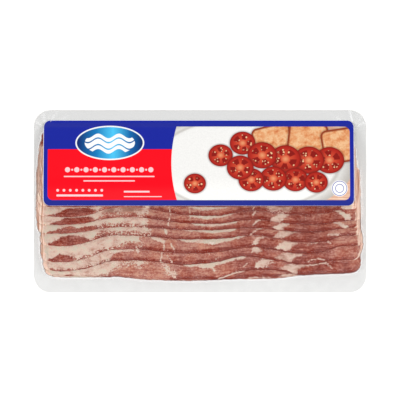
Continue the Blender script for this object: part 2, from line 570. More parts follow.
def addGrid(name, columns, rows):
    deselectAll()
    bpy.ops.mesh.primitive_grid_add(x_subdivisions=columns - 1, y_subdivisions=rows - 1, size=2)
    piece = bpy.context.object
    piece.name = name
    piece.data.name = name
    return piece

def gridPlaces(piece, columns, rows):  # each corner's column and row in the grid, and its height
    points = np.empty(len(piece.data.vertices) * 3)
    piece.data.vertices.foreach_get("co", points)
    x, y, z = points.reshape(-1, 3).T
    return np.rint((x + 1) / 2 * (columns - 1)).astype(int), np.rint((y + 1) / 2 * (rows - 1)).astype(int), z

def crowdEnds(share, power):  # places from -1 to 1, drawn closer together at the ends
    return np.sign(share) * (1 - (1 - abs(share)) ** power)

def writePoints(piece, x, y, z):
    piece.data.vertices.foreach_set("co", (np.stack([x, y, z], 1) * mm).ravel())
    piece.data.update()

def addAttribute(piece, name, values):
    attribute = piece.data.attributes.new(name, "FLOAT", "POINT")
    attribute.data.foreach_set("value", np.asarray(values, dtype=np.float32))

def smoothBy(piece, degrees):
    choose(piece)
    bpy.ops.object.shade_smooth_by_angle(angle=math.radians(degrees))

def giveThickness(piece, faceMaterial, backMaterial, thickness, rim):
    piece.data.materials.append(faceMaterial)
    piece.data.materials.append(backMaterial)
    choose(piece)
    modifier = piece.modifiers.new("Solidify", "SOLIDIFY")
    modifier.thickness = thickness * mm
    modifier.offset = -1
    modifier.material_offset = 1
    modifier.material_offset_rim = rim
    bpy.ops.object.modifier_apply(modifier=modifier.name)

def addNode(tree, kind, *inputs, named=None, stops=None, **settings):
    node = tree.nodes.new("ShaderNode" + kind)
    for key, value in settings.items():
        setattr(node, key, value)
    for place, value in [*enumerate(inputs), *(named or {}).items()]:
        if isinstance(value, bpy.types.Node):
            value = value.outputs[0]
        if isinstance(value, bpy.types.NodeSocket):
            tree.links.new(value, node.inputs[place])
        elif value is not None:
            node.inputs[place].default_value = value
    for number, (position, colour) in enumerate(stops or []):
        ramp = node.color_ramp.elements
        stop = ramp[number] if number < len(ramp) else ramp.new(position)
        stop.position = position
        stop.color = linear(colour)
    return node

def linear(colour):  # an sRGB hex colour as linear values
    channels = [int(colour[i:i + 2], 16) / 255 for i in (0, 2, 4)]
    return (*[c / 12.92 if c < 0.04045 else ((c + 0.055) / 1.055) ** 2.4 for c in channels], 1)

def newMaterial(name):
    material = bpy.data.materials.new(name)
    material.use_nodes = True
    tree = material.node_tree
    tree.nodes.clear()
    return material, tree

def placeInMm(tree):
    place = addNode(tree, "TexCoord").outputs["Object"]
    return addNode(tree, "VectorMath", place, named={3: 1 / mm}, operation="SCALE")

# Raw cured belly: lean is wet and slightly translucent, fat is waxy and paler, and the saw leaves a fine
# grain along the slice. A pattern is: its size along the slice and across it, its detail and its roughness.
# Grain, speck and fleck are drawn as coarse as they need to show.
meatLook = {
    "leanColours": [(0, "7A342B"), (0.25, "8F4C41"), (0.5, "A05F53"), (0.75, "B07667"), (1, "C08E7B")],
    "fatColours": [(0, "A17667"), (0.2, "BE9889"), (0.38, "CDB0A1"), (0.52, "D2BBAA"), (0.68, "C6BAA7"),
                   (0.95, "DDCDC3")],
    "rindColours": [(0.32, "A8745F"), (0.4, "D3A48F"), (0.46, "F3D6C4"), (0.52, "C99B85"), (0.6, "FFE8D7"),
                    (0.7, "E6C1AD"), (0.8, "BD8C75")],
    "rindEdge": "8A6253",
    "seamColours": [(0.4, "B57A5E"), (0.54, "B57A5E"), (0.62, "FAD8C6"), (0.75, "F0CDBC")],
    "seamShares": [(0.38, "000000"), (0.44, "E7E7E7"), (0.55, "E7E7E7"), (0.6, "C8C8C8"), (0.68, "AAAAAA"),
                   (0.85, "000000")],
    "patterns": {
        "grain": (3.4, 0.95, 3, 0.6),
        "fibre": (14, 1.9, 2, 0.5),
        "speck": (1.55, 1.55, 2, 0.5),
        "blotch": (6, 6, 3, 0.5),
        "fleck": (1.35, 1.35, 3, 0.7),
        "wander": (1.6, 1.6, 3, 0.65),  # of the fat's outline
        "browned": (11, 11, 3, 0.5),  # patches where the lean is browner
        "layers": (1.1, 100 / 3, 2, 0.5),  # of the rind
    },
    "shifts": {"grain": 0.28, "fibre": 0.2, "speck": 0.27, "blotch": 0.12},  # how far each changes the lean
    "fatShift": 0.42,  # how much of the first three shows in the fat
    "glint": 0.4,
    "fleckDepth": 3.8,
    "thinFat": 0.2,  # how much of the lean shows through the fat at its edges
    "edgeNoise": 0.66,  # how far the fat's outline wanders
    "softEdge": 0.36,
    "saturation": (0.95, 1.08),
    "roughness": (0.5, 0.42),  # of fat and of lean
}
fleshPainting = {
    "leanDepth": leanDepth,
    "leanTone": leanTone,
    "mottle": mottling,
    "rind": rindShare,
    "pastSeam": pastSeam,
    "stain": fatStain,
    "endLine": endLine,
}

def rawBacon():
    material, tree = newMaterial("rawCuredBacon")
    look = meatLook
    inMm = placeInMm(tree)
    pattern = {}
    for name, (along, size, detail, roughness) in look["patterns"].items():
        drawn = addNode(tree, "VectorMath", inMm, (size / along, 1, 1), operation="MULTIPLY")
        noise = addNode(tree, "TexNoise", named={
            "Vector": drawn, "Scale": 1 / size, "Detail": detail, "Roughness": roughness})
        pattern[name] = noise.outputs["Fac"]
    painted = {}
    for name in fleshPainting:
        painted[name] = addNode(tree, "Attribute", attribute_name=name).outputs["Fac"]

    wander = addNode(tree, "Math", pattern["wander"], -0.5, operation="ADD")
    wandered = addNode(tree, "Math", wander, 4 * look["edgeNoise"], painted["leanDepth"],
                       operation="MULTIPLY_ADD")
    flecked = addNode(tree, "MapRange", pattern["fleck"], 0.5, 0.56, 0, look["fleckDepth"])
    threads = addNode(tree, "Math", flecked, painted["mottle"], operation="MULTIPLY")
    depth = addNode(tree, "Math", wandered, threads, operation="SUBTRACT")
    soft = look["softEdge"]
    leanShare = addNode(tree, "MapRange", depth, -soft, soft, 0, 1, interpolation_type="SMOOTHSTEP")

    shift = {}
    for name, most in look["shifts"].items():
        shift[name] = addNode(tree, "MapRange", pattern[name], 0.3, 0.7, -most, most)
    glint = addNode(tree, "MapRange", pattern["fleck"], 0.6, 0.68, 0, look["glint"])
    leanPlace = painted["leanTone"]
    for part in (*shift.values(), glint):
        leanPlace = addNode(tree, "Math", leanPlace, part, operation="ADD")
    leanColour = addNode(tree, "ValToRGB", leanPlace, stops=look["leanColours"])
    saturation = addNode(tree, "MapRange", pattern["browned"], 0.35, 0.65, *look["saturation"])
    lean = addNode(tree, "HueSaturation", named={"Saturation": saturation, "Color": leanColour})

    fatPlace = addNode(tree, "MapRange", pattern["blotch"], 0.25, 0.75, 0.22, 0.8)
    thin = addNode(tree, "MapRange", depth, -1.5, 0.1, 0, look["thinFat"])
    for part in (painted["stain"], thin):
        fatPlace = addNode(tree, "Math", fatPlace, part, operation="SUBTRACT")
    for name in ("grain", "fibre", "speck"):
        fatPlace = addNode(tree, "Math", shift[name], look["fatShift"], fatPlace, operation="MULTIPLY_ADD")
    fat = addNode(tree, "ValToRGB", fatPlace, stops=look["fatColours"])
    rind = addNode(tree, "ValToRGB", pattern["layers"], stops=look["rindColours"])
    rindEnd = addNode(tree, "Mix", painted["endLine"], data_type="RGBA",
                      named={6: rind.outputs[0], 7: linear(look["rindEdge"])})
    reach = rindForm["seamReach"]
    seamPlace = addNode(tree, "MapRange", painted["pastSeam"], -reach, reach, 0, 1)
    seam = addNode(tree, "ValToRGB", seamPlace, stops=look["seamColours"])
    seamShare = addNode(tree, "ValToRGB", seamPlace, stops=look["seamShares"])
    colour = fat.outputs[0]
    for share, over in ((leanShare, lean), (painted["rind"], rindEnd.outputs[2]), (seamShare, seam)):
        colour = addNode(tree, "Mix", share, named={6: colour, 7: over}, data_type="RGBA").outputs[2]
    rough = addNode(tree, "MapRange", leanShare, 0, 1, *look["roughness"])
    bump = addNode(tree, "Bump", named={"Strength": 0.35, "Distance": 0.25 * mm, "Height": pattern["grain"]})
    skin = addNode(tree, "BsdfPrincipled", named={
        "Base Color": colour,
        "Roughness": rough,
        "Normal": bump,
        "IOR": 1.42,
        "Specular IOR Level": 0.12,
        "Subsurface Weight": 0.12,
        "Subsurface Radius": (1.0, 0.45, 0.3),
        "Subsurface Scale": 0.9 * mm,
    })
    addNode(tree, "OutputMaterial", skin)
    return material

sliceGrid = {
    "columns": 372,
    "endOffsets": (0, 0.12, 0.35, 0.8, 1.5, 2.6),
    "rows": (0, 0.1, 0.3, 0.6, 1, 1.45, 2, 2.6, 3.3, 4, 4.7, 5.4, 6.1, 6.8, 7.5, 8.2, 8.9, 9.6, 10.3, 11,
             11.7, 12.4, 13.1, 13.8, 14.5, 15.5, 17, 20, 25, 31, 36, 39, 41.5, 43.5, 45, 46, 46.6, 46.9, 47),
}

def slicePlaces(index, column, row):  # where a slice's column and row lie
    offsets = sliceGrid["endOffsets"]
    last = sliceGrid["columns"] - 1
    fromEnd = np.minimum(column, last - column)
    across = np.array(sliceGrid["rows"], dtype=float)[row]
    left, right = sliceReach(index, "left", across), sliceReach(index, "right", across)
    inset = np.interp(fromEnd, range(len(offsets)), offsets)
    shareStart, shareEnd = len(offsets) - 1, last - len(offsets) + 1
    share = (column - shareStart) / (shareEnd - shareStart)
    inner = -left + offsets[-1] + share * (left + right - 2 * offsets[-1])
    x = np.where(fromEnd < len(offsets), np.where(column < last / 2, -left + inset, right - inset), inner)
    return x, across

def makeSlice(index, material):
    columns, rows = sliceGrid["columns"], len(sliceGrid["rows"])
    piece = addGrid(f"slice_{index + 1:02d}", columns, rows)
    bpy.ops.object.mode_set(mode="EDIT")
    bpy.ops.mesh.select_all(action="SELECT")
    bpy.ops.mesh.extrude_region_move(TRANSFORM_OT_translate={"value": (0, 0, 1)})
    bpy.ops.object.mode_set(mode="OBJECT")
    column, row, level = gridPlaces(piece, columns, rows)
    x, across = slicePlaces(index, column, row)
    y = lowerEdge(index, x) + across
    under = packForm["boardTop"] + sliceForm["layGap"] + pileHeight(x, y, index)
    rise = np.maximum(sliceRise(index, x, y), sliceForm["rim"])
    z = np.where(level > 0.5, under + rise, under + sliceForm["layGap"])
    writePoints(piece, x + packForm["pileShift"][0], y + packForm["pileShift"][1], z)
    bpy.ops.object.mode_set(mode="EDIT")
    bpy.ops.mesh.select_all(action="SELECT")
    bpy.ops.mesh.normals_make_consistent(inside=False)
    bpy.ops.object.mode_set(mode="OBJECT")
    for name, paint in fleshPainting.items():
        addAttribute(piece, name, paint(index, x, across))
    smoothBy(piece, 50)
    piece.data.materials.append(material)
    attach(piece, "root")
    return piece

baconMaterial = rawBacon()
slices = [makeSlice(index, baconMaterial) for index in range(sliceCount)]
print("slices laid", len(slices))

# The pile's height on an even grid, from which the film and the label take their soft form.
reliefForm = {"step": 0.5, "past": 1, "filmBlur": 1.3}

def blurred(values, spreadLong, spreadDeep):
    for axis, spread in enumerate((spreadLong, spreadDeep)):
        reach = int(3 * spread / reliefForm["step"]) + 1
        kernel = bell(np.arange(-reach, reach + 1) * reliefForm["step"], 0, spread)
        kernel /= kernel.sum()

        def blurLine(line):
            return np.convolve(np.pad(line, reach, "edge"), kernel, "valid")
        values = np.apply_along_axis(blurLine, axis, values)
    return values

def makeRelief():
    step, past = reliefForm["step"], reliefForm["past"]
    xs = np.arange(-packForm["halfLong"] - past, packForm["halfLong"] + past + step, step)
    ys = np.arange(-packForm["halfDeep"] - past, packForm["halfDeep"] + past + step, step)
    x, y = np.meshgrid(xs, ys, indexing="ij")
    return xs, ys, heightOnBoard(x, y)

reliefXs, reliefYs, reliefHeights = makeRelief()
softRelief = blurred(reliefHeights, reliefForm["filmBlur"], reliefForm["filmBlur"])

def sampleRelief(values, x, y):
    column = np.clip((x - reliefXs[0]) / reliefForm["step"], 0, len(reliefXs) - 1.001)
    row = np.clip((y - reliefYs[0]) / reliefForm["step"], 0, len(reliefYs) - 1.001)
    c, r = column.astype(int), row.astype(int)
    s, t = column - c, row - r
    low = values[c, r] * (1 - s) + values[c + 1, r] * s
    high = values[c, r + 1] * (1 - s) + values[c + 1, r + 1] * s
    return low * (1 - t) + high * t

# Clear vacuum film: it follows the slices, bridges the foot of every step, and is sealed to the board's
# margin, where it keeps a few creases that run out from the corners.
filmForm = {
    "clear": 0.12,
    "thickness": 0.06,
    "within": 0.9999,  # of the board's reach
    "columns": 250,
    "crowded": 1.12,
    "stepOffsets": (-1.6, -0.9, -0.35, -0.05, 0.25, 0.65, 1.2, 1.9),
    "leastStrip": 4.0,
    "leastRow": 0.12,
    "marginFrom": 62,
    "marginRows": 12,
    "backRows": 36,
    "sealSoft": 3,
    "footHigh": 0.15,
    "footSoft": 1.1,  # how far from the pile's foot the stretched film is milky
    "footFrom": (0.02, 0.25),
    "footTo": (0.5, 0.3),
    "milky": 0.65,
    "creaseCorner": (126, 60),
    "creaseFan": 9,
    "creaseHigh": 0.34,
    "creaseStart": 4,
    "creaseAt": 7,
    "creaseLong": 6.5,
    "creaseMilky": 0.6,  # the upper corners' creases are stretched white
    "milkyFrom": (57, 64),
}
filmRest = packForm["boardTop"] + sliceForm["layGap"] + filmForm["clear"]  # its height where it lies flat

def outlineReach(y):  # half the pack's length at a distance from its middle line
    radius = packForm["cornerRadius"]
    past = np.clip(abs(y) - (packForm["halfDeep"] - radius), 0, radius)
    return packForm["halfLong"] - radius + np.sqrt(radius ** 2 - past ** 2)

def marginPlaces(start):  # rows from the middle of the margin out to the pack's edge, closer at the corners
    radius, edge, count = packForm["cornerRadius"], packForm["halfDeep"], filmForm["marginRows"]
    share = np.linspace(0, 1, count)[:, None]
    curved = edge - radius + radius * np.sin(share * math.pi / 2)
    straight = start + (edge - start) * share
    blend = share ** 0.5
    places = straight * (1 - blend) + curved * blend
    for i in range(1, count):  # no row falls back over the one before it
        places[i] = np.maximum(places[i], places[i - 1] + filmForm["leastRow"])
    return np.minimum(places, edge)

def filmRows(x):
    shiftX, shiftY = packForm["pileShift"]
    offsets = filmForm["stepOffsets"]
    edges = np.sort(np.array([lowerEdge(index, x - shiftX) for index in range(sliceCount)]), 0) + shiftY
    for i in range(1, sliceCount):
        edges[i] = np.maximum(edges[i], edges[i - 1] + filmForm["leastStrip"])
    rows = []
    for i in range(sliceCount):
        rows += [edges[i] + offset for offset in offsets]
        if i + 1 < sliceCount:
            last, following = rows[-1], edges[i + 1] + offsets[0]
            rows += [last + (following - last) * share for share in (0.25, 0.5, 0.75)]
    first, last = rows[0], rows[-1]
    lower = -marginPlaces(-first)[:0:-1]
    start, count = filmForm["marginFrom"], filmForm["backRows"]
    back = [last + (start - last) * (i + 1) / count for i in range(count)]
    upper = marginPlaces(start + 0 * x)[1:]
    return np.array([*lower, *rows, *back, *upper])

def cornerCreases(x, y):  # shallow ridges that fan out from each corner of the pile
    cornerX, cornerY = filmForm["creaseCorner"]
    outX, outY = x - np.sign(x) * cornerX, y - np.sign(y) * cornerY
    distance = np.hypot(outX, outY)
    ridges = np.maximum(sineNoise("creases", np.arctan2(outY, outX) * filmForm["creaseFan"]), 0)
    outside = smoothstep(0, filmForm["creaseStart"], distance)
    return ridges * outside * bell(distance, filmForm["creaseAt"], filmForm["creaseLong"])

def filmHeight(x, y):
    pile = np.maximum(heightOnBoard(x, y), sampleRelief(softRelief, x, y))
    edgeDistance = np.minimum(packForm["halfDeep"] - abs(y), outlineReach(y) - abs(x))
    sealed = smoothstep(0, filmForm["sealSoft"], edgeDistance)
    return filmRest + pile + filmForm["creaseHigh"] * cornerCreases(x, y) * sealed

def milkiness(x, y):  # the film is stretched where it leaves the board to climb the pile, and along creases
    onPile = (reliefHeights > filmForm["footHigh"]).astype(float)
    share = sampleRelief(blurred(onPile, filmForm["footSoft"], filmForm["footSoft"]), x, y)
    nearFoot = smoothstep(*filmForm["footFrom"], share) * smoothstep(*filmForm["footTo"], share)
    creased = np.minimum(smoothstep(*filmForm["milkyFrom"], y) * cornerCreases(x, y), 1)
    return filmForm["milky"] * nearFoot + filmForm["creaseMilky"] * creased

def glossyFilm():
    # Polyamide and polythene film: clear, with the sharp gloss of a drawn film and no colour of its own.
    material, tree = newMaterial("clearVacuumFilm")
    see = addNode(tree, "BsdfTransparent", (0.98, 0.98, 0.98, 1))
    shine = addNode(tree, "BsdfAnisotropic", named={"Color": (1, 1, 1, 1), "Roughness": 0.14})
    facing = addNode(tree, "LayerWeight", 0.5).outputs["Facing"]
    edgeOn = addNode(tree, "Math", facing, 5, operation="POWER")
    gloss = addNode(tree, "Math", edgeOn, 0.2, 0.008, operation="MULTIPLY_ADD")
    clear = addNode(tree, "MixShader", gloss, see, shine)
    milk = addNode(tree, "BsdfDiffuse", (1, 1, 1, 1))
    milky = addNode(tree, "Attribute", attribute_name="milky").outputs["Fac"]
    mixed = addNode(tree, "MixShader", milky, clear, milk)
    addNode(tree, "OutputMaterial", mixed)
    return material

def wettedFilm():
    # The film's inner face lies wet on the meat, so that no air is left there to reflect light.
    material, tree = newMaterial("filmOnWetMeat")
    see = addNode(tree, "BsdfTransparent", (1, 1, 1, 1))
    addNode(tree, "OutputMaterial", see)
    return material

def makeFilm():
    columns, rows, halfDeep = filmForm["columns"], len(filmRows(np.zeros(1))), packForm["halfDeep"]
    piece = addGrid("vacuum_film", columns, rows)
    column, row, _ = gridPlaces(piece, columns, rows)
    places = crowdEnds(np.linspace(-1, 1, columns), filmForm["crowded"])
    y = filmRows(places * packForm["halfLong"])[row, column]
    y = np.clip(y, -halfDeep, halfDeep) * filmForm["within"]
    x = places[column] * filmForm["within"] * outlineReach(y)
    writePoints(piece, x, y, filmHeight(x, y))
    addAttribute(piece, "milky", milkiness(x, y))
    smoothBy(piece, 80)
    giveThickness(piece, glossyFilm(), wettedFilm(), filmForm["thickness"], 0)
    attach(piece, "root")
    return piece

film = makeFilm()
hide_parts("sealed_bag")
for piece in slices:
    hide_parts("sealed_bag")
print("film drawn over the slices")

labelForm = {
    "left": -128.0,
    "right": 126.3,
    "bottom": -4.3,
    "top": 66.0,
    "cornerRadius": 5.7,
    "bareRim": 0.38,  # unprinted paper round the edge
    "bareFoot": 0.12,
    "thickness": 0.16,
    "lift": 0.25,
    "edgeLift": 0.06,
    "topFall": 6,
    "crestReach": 3,
    "profileStep": 3,
    "bend": 2.5,
    "telegraph": 0.12,  # how much of the slices' waves shows through the label
    "telegraphLong": 9,
    "telegraphDeep": 5,
    "columns": 176,
    "rows": 60,
    "crowded": 1.35,
}

# The label's print, in millimetres on the pack: fields of colour, a plain badge and seal, rows of rules and
# dots, and a picture of toast and tomato slices on a plate.
inkColours = {
    "ground": "16249A",
    "groundFoot": "192487",
    "panel": "F8041B",
    "pale": "FBC9CC",
    "white": "F8F8F8",
    "rim": "F6F7FF",
    "plate": "EDECE9",
    "plateRim": "B9B4AE",
    "crust": "8F3A1E",
    "tomatoSkin": "8E1710",
    "tomatoCell": "8A1812",
    "tomatoSeed": "F0C193",
    "shadow": "5A2A20",
}
inks = {name: linear(colour) for name, colour in inkColours.items()}
inkRanges = {
    "wood": [(0.3, "C9937A"), (0.5, "DDB298"), (0.7, "EACDB8")],
    "badge": [(0, "0B1A66"), (0.3, "1478B8"), (0.55, "4CC4F2"), (0.8, "1267A8"), (1, "0B1A66")],
    "toast": [(0.3, "C2683C"), (0.45, "DD9663"), (0.6, "EBBE90"), (0.75, "D98B58")],
    "tomato": [(0, "E59A6C"), (0.3, "CC4A30"), (0.75, "B32A1E"), (1, "9C1D14")],
}
printBoxes = [  # ink, two opposite corners, and the radius of the corners
    ("groundFoot", (-140, -10), (140, 0.5), 0.3),
    ("panel", (-124.2, 0.5), (0, 42), 4),
    ("panel", (-124.2, 20), (0, 42), 0.3),
    ("pale", (-111, 19.2), (-37, 20.2), 0.4),
    ("pale", (-95, 15.6), (-53, 16.6), 0.4),
    ("pale", (-117, 3.4), (-79, 5), 0.5),
    ("pale", (-62, 6.6), (-41, 8), 0.4),
    ("pale", (-62, 2.9), (-31, 3.6), 0.3),
]
# Rows of dots: where each starts and ends, its height, its count and its radius.
printDots = [(-108, -40, 25.2, 10, 2.1), (-104.2, -43.8, 25.2, 9, 0.8), (-116, -80, 8.4, 8, 1.1)]
windowForm = {"from": (-30, 0.4), "to": (122.6, 60.6), "round": 4.5, "bulgeAt": (83.8, 31), "bulge": 107}
sealForm = {
    "at": (114.1, 10),
    "rings": [(6.6, "white"), (6.1, "ground"), (5.6, "white"), (3.6, "ground"), (3.1, "white")],
}
badgeForm = {
    "at": (-73.6, 47.2),
    "reach": (27, 13),
    "rim": 1.1,
    "waveReach": (20.5, 9.6),
    "waveLong": 17,
    "waveStart": 0.9,
    "waveHigh": 1.9,
    "waves": [(4.2, 1.5), (-0.6, 2.1), (-5.4, 1.5)],  # each one's height, and half its breadth
}
plateForm = {"at": (38, 30), "reach": (88, 44), "rim": 0.86}
# Place, turn and half the size of each toast, and place, radius and turn of each tomato slice.
toasts = [((60, 48), 14, (16, 14)), ((88, 50), -7, (16, 14)), ((115, 45), 9, (15, 14))]
tomatoes = [
    ((35, 47), 10.5, 0.3), ((106, 33), 12, 1.1), ((89, 33), 12.5, 0.7), ((70, 34), 12.5, 2),
    ((51, 37), 12, 1.5), ((78, 17), 10.5, 0.1), ((60, 18), 11, 0.9), ((95, 15), 9.5, 1.8),
    ((17, 37), 10, 1.2), ((42, 17), 10.5, 0.4), ((33, 27), 11, 1.9), ((-4, 14), 9, 0.5),
]

def boxDistance(tree, place, low, high, radius):  # how far outside a rounded box
    centre = [(a + b) / 2 for a, b in zip(low, high)]
    half = [(b - a) / 2 - radius for a, b in zip(low, high)]
    moved = addNode(tree, "VectorMath", place, (*centre, 0), operation="SUBTRACT")
    folded = addNode(tree, "VectorMath", moved, operation="ABSOLUTE")
    outside = addNode(tree, "VectorMath", folded, (*half, 1000), operation="SUBTRACT")
    clear = addNode(tree, "VectorMath", outside, (0, 0, 0), operation="MAXIMUM")
    length = addNode(tree, "VectorMath", clear, operation="LENGTH").outputs["Value"]
    return addNode(tree, "Math", length, -radius, operation="ADD")

def ellipseDistance(tree, place, centre, reach):
    moved = addNode(tree, "VectorMath", place, (*centre, 0), operation="SUBTRACT")
    shrunk = addNode(tree, "VectorMath", moved, (1 / reach[0], 1 / reach[1], 0), operation="MULTIPLY")
    length = addNode(tree, "VectorMath", shrunk, operation="LENGTH").outputs["Value"]
    return addNode(tree, "Math", length, min(reach), -min(reach), operation="MULTIPLY_ADD")

def circleDistance(tree, place, centre, radius):
    return ellipseDistance(tree, place, centre, (radius, radius))

def inkOver(tree, colour, ink, distance, full=-0.12, none=0.12, most=1):  # prints an ink up to a distance
    share = addNode(tree, "MapRange", distance, full, none, most, 0)
    return addNode(tree, "Mix", share, named={6: colour, 7: ink}, data_type="RGBA").outputs[2]

def picture(tree, place):
    grainPlace = addNode(tree, "VectorMath", place, (0.09, 0.9, 0), operation="MULTIPLY")
    grain = addNode(tree, "TexNoise", named={"Vector": grainPlace, "Scale": 1, "Detail": 3})
    colour = addNode(tree, "ValToRGB", grain, stops=inkRanges["wood"]).outputs[0]
    edge = ellipseDistance(tree, place, plateForm["at"], plateForm["reach"])
    shade = addNode(tree, "MapRange", edge, -9, 0.5, 0, 1, interpolation_type="SMOOTHSTEP")
    plate = addNode(tree, "Mix", shade, named={6: inks["plate"], 7: inks["plateRim"]}, data_type="RGBA")
    colour = inkOver(tree, colour, plate.outputs[2], edge, -0.3, 0.3)
    innerReach = [reach * plateForm["rim"] for reach in plateForm["reach"]]
    well = ellipseDistance(tree, place, plateForm["at"], innerReach)
    ring = addNode(tree, "Math", well, operation="ABSOLUTE")
    colour = inkOver(tree, colour, inks["plateRim"], ring, 0.2, 1.4, 0.7)
    for at, turn, half in toasts:
        colour = toastSlice(tree, place, colour, at, turn, half)
    for at, radius, turn in tomatoes:
        colour = tomatoSlice(tree, place, colour, at, radius, turn)
    return colour

def toastSlice(tree, place, colour, at, turn, half):
    moved = addNode(tree, "VectorMath", place, (*at, 0), operation="SUBTRACT")
    angle = -math.radians(turn)
    turned = addNode(tree, "VectorRotate", moved, named={"Angle": angle}, rotation_type="Z_AXIS")
    edge = boxDistance(tree, turned, [-value for value in half], half, 5)
    colour = inkOver(tree, colour, inks["shadow"], edge, -1.6, 1.6)
    colour = inkOver(tree, colour, inks["crust"], edge)
    crumbPlace = addNode(tree, "VectorMath", place, (*half, 0), operation="ADD")
    crumb = addNode(tree, "TexNoise", named={
        "Vector": crumbPlace, "Scale": 0.16, "Detail": 4, "Roughness": 0.7})
    face = addNode(tree, "ValToRGB", crumb, stops=inkRanges["toast"])
    return inkOver(tree, colour, face, edge, -2.2, -1)

def tomatoSlice(tree, place, colour, at, radius, turn):
    edge = ellipseDistance(tree, place, at, (radius, radius * 0.9))
    colour = inkOver(tree, colour, inks["shadow"], edge, -1.4, 1.4)
    colour = inkOver(tree, colour, inks["tomatoSkin"], edge)
    fromMiddle = addNode(tree, "MapRange", edge, -radius * 0.9, 0, 0, 1)
    flesh = addNode(tree, "ValToRGB", fromMiddle, stops=inkRanges["tomato"])
    colour = inkOver(tree, colour, flesh, edge, -0.9, -0.5)
    moved = addNode(tree, "VectorMath", place, (*at, 0), operation="SUBTRACT")
    parts = addNode(tree, "SeparateXYZ", moved)
    angle = addNode(tree, "Math", parts.outputs["Y"], parts.outputs["X"], operation="ARCTAN2")
    phase = addNode(tree, "Math", angle, 5, turn * 5, operation="MULTIPLY_ADD")
    wave = addNode(tree, "Math", phase, operation="SINE")
    fromWall = addNode(tree, "MapRange", wave, -0.5, -0.2, 0, 1)
    ring = addNode(tree, "Math", edge, radius * 0.42, operation="ADD")
    apart = addNode(tree, "Math", ring, operation="ABSOLUTE")
    inRing = addNode(tree, "MapRange", apart, radius * 0.16, radius * 0.21, 1, 0)
    cell = addNode(tree, "Math", fromWall, inRing, operation="MULTIPLY")
    dots = addNode(tree, "TexVoronoi", named={"Vector": place, "Scale": 0.42, "Randomness": 0.8})
    dot = addNode(tree, "MapRange", dots.outputs["Distance"], 0.24, 0.4, 1, 0)
    seed = addNode(tree, "Math", dot, cell, operation="MULTIPLY")
    for share, ink in ((cell, "tomatoCell"), (seed, "tomatoSeed")):
        colour = addNode(tree, "Mix", share, named={6: colour, 7: inks[ink]}, data_type="RGBA").outputs[2]
    return colour

def badge(tree, place, colour):
    (x, y), reach = badgeForm["at"], badgeForm["reach"]
    outer = ellipseDistance(tree, place, (x, y), [value + badgeForm["rim"] for value in reach])
    colour = inkOver(tree, colour, inks["white"], outer)
    parts = addNode(tree, "SeparateXYZ", place)
    across = addNode(tree, "MapRange", parts.outputs["X"], x - reach[0], x + reach[0], 0, 1)
    field = addNode(tree, "ValToRGB", across, stops=inkRanges["badge"]).outputs[0]
    turns = 2 * math.pi / badgeForm["waveLong"]
    phase = addNode(tree, "Math", parts.outputs["X"], turns, badgeForm["waveStart"], operation="MULTIPLY_ADD")
    swing = addNode(tree, "Math", phase, operation="SINE")
    waved = addNode(tree, "Math", swing, -badgeForm["waveHigh"], parts.outputs["Y"], operation="MULTIPLY_ADD")
    inside = ellipseDistance(tree, place, (x, y), badgeForm["waveReach"])
    for height, half in badgeForm["waves"]:
        gap = addNode(tree, "Math", waved, -y - height, operation="ADD")
        apart = addNode(tree, "Math", gap, operation="ABSOLUTE")
        edge = addNode(tree, "Math", apart, -half, operation="ADD")
        both = addNode(tree, "Math", edge, inside, operation="MAXIMUM")
        field = inkOver(tree, field, inks["white"], both)
    return inkOver(tree, colour, field, ellipseDistance(tree, place, (x, y), reach))

def labelPaper():
    # Coated label paper, printed and varnished.
    material, tree = newMaterial("coatedLabelPaper")
    inMm = placeInMm(tree)
    onLabel = addNode(tree, "VectorMath", inMm, (*packForm["pileShift"], 0), operation="SUBTRACT")
    flat = addNode(tree, "VectorMath", onLabel, (1, 1, 0), operation="MULTIPLY")
    colour = inks["ground"]
    for ink, low, high, radius in printBoxes:
        colour = inkOver(tree, colour, inks[ink], boxDistance(tree, flat, low, high, radius))
    for left, right, y, count, radius in printDots:
        for x in np.linspace(left, right, count):
            colour = inkOver(tree, colour, inks["pale"], circleDistance(tree, flat, (x, y), radius))
    colour = badge(tree, flat, colour)
    window = boxDistance(tree, flat, windowForm["from"], windowForm["to"], windowForm["round"])
    bulge = circleDistance(tree, flat, windowForm["bulgeAt"], windowForm["bulge"])
    both = addNode(tree, "Math", window, bulge, operation="MAXIMUM")
    colour = inkOver(tree, colour, picture(tree, flat), both)
    for radius, ink in sealForm["rings"]:
        colour = inkOver(tree, colour, inks[ink], circleDistance(tree, flat, sealForm["at"], radius))
    rim = labelForm["bareRim"]
    low = (labelForm["left"] + rim, labelForm["bottom"] + labelForm["bareFoot"])
    high = (labelForm["right"] - rim, labelForm["top"] - rim)
    bare = boxDistance(tree, flat, low, high, labelForm["cornerRadius"] - rim)
    colour = inkOver(tree, inks["rim"], colour, bare)
    # Offset ink lies a little unevenly on the paper, and the varnish follows its fibres.
    fibres = addNode(tree, "TexNoise", named={"Vector": inMm, "Scale": 0.9, "Detail": 4, "Roughness": 0.7})
    laid = addNode(tree, "ValToRGB", fibres, stops=[(0.3, "F4F4F4"), (0.65, "FFFFFF")])
    printed = addNode(tree, "Mix", 1, named={6: colour, 7: laid}, data_type="RGBA", blend_type="MULTIPLY")
    varnish = addNode(tree, "MapRange", fibres, 0.3, 0.7, 0.36, 0.46)
    bump = addNode(tree, "Bump", named={"Strength": 0.3, "Distance": 0.02 * mm, "Height": fibres})
    skin = addNode(tree, "BsdfPrincipled", named={
        "Base Color": printed.outputs[2],
        "Roughness": varnish,
        "Normal": bump,
        "Specular IOR Level": 0.12,
    })
    addNode(tree, "OutputMaterial", skin)
    return material

